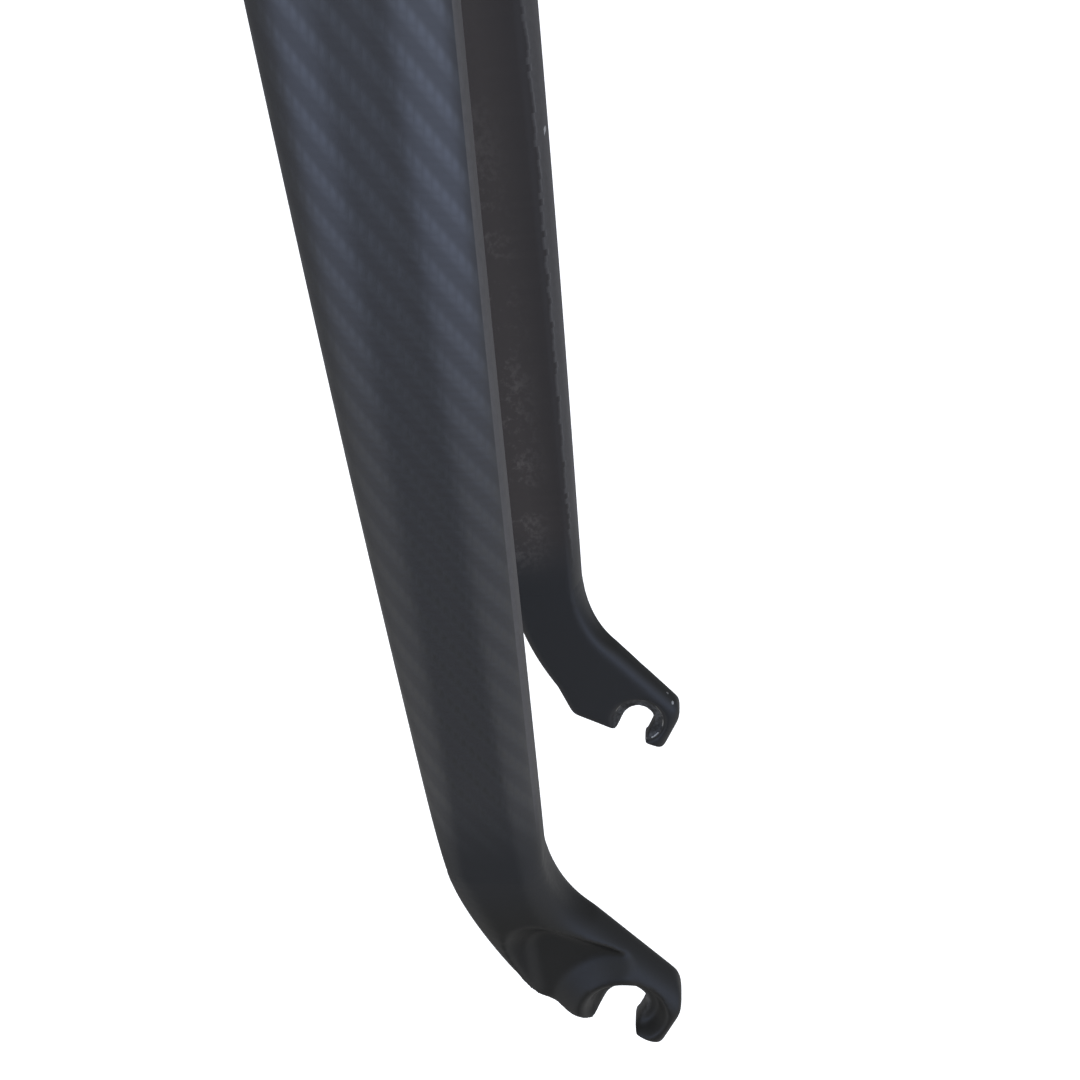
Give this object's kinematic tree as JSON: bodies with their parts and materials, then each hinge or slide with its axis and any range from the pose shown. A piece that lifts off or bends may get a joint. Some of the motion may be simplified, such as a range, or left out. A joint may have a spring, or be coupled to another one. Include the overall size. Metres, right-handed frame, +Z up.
{
  "type": "rigid bicycle fork",
  "caption": "Straight-bladed rigid bicycle fork in moulded carbon with bonded alloy dropouts, an open axle slot at each blade end, a plain crown and a straight steerer tube.",
  "frame": {"origin": "on the steering axis, at the face of the crown that the headset's crown race sits on", "axes": "+Z up the steerer, +X forward in the direction of travel, +Y to the rider's left"},
  "size_m": [0.0786, 0.1304, 0.6151],
  "materials": {
    "carbon": "satin clear coat over twill carbon cloth",
    "black_paint": "satin black paint",
    "alloy": "turned"
  },
  "bodies": {
    "root": {"fork_body": "carbon", "dropout_right": "black_paint", "dropout_left": "black_paint", "steerer_tube": "alloy", "brake_sleeve": "alloy"}
  },
  "joints": []
}
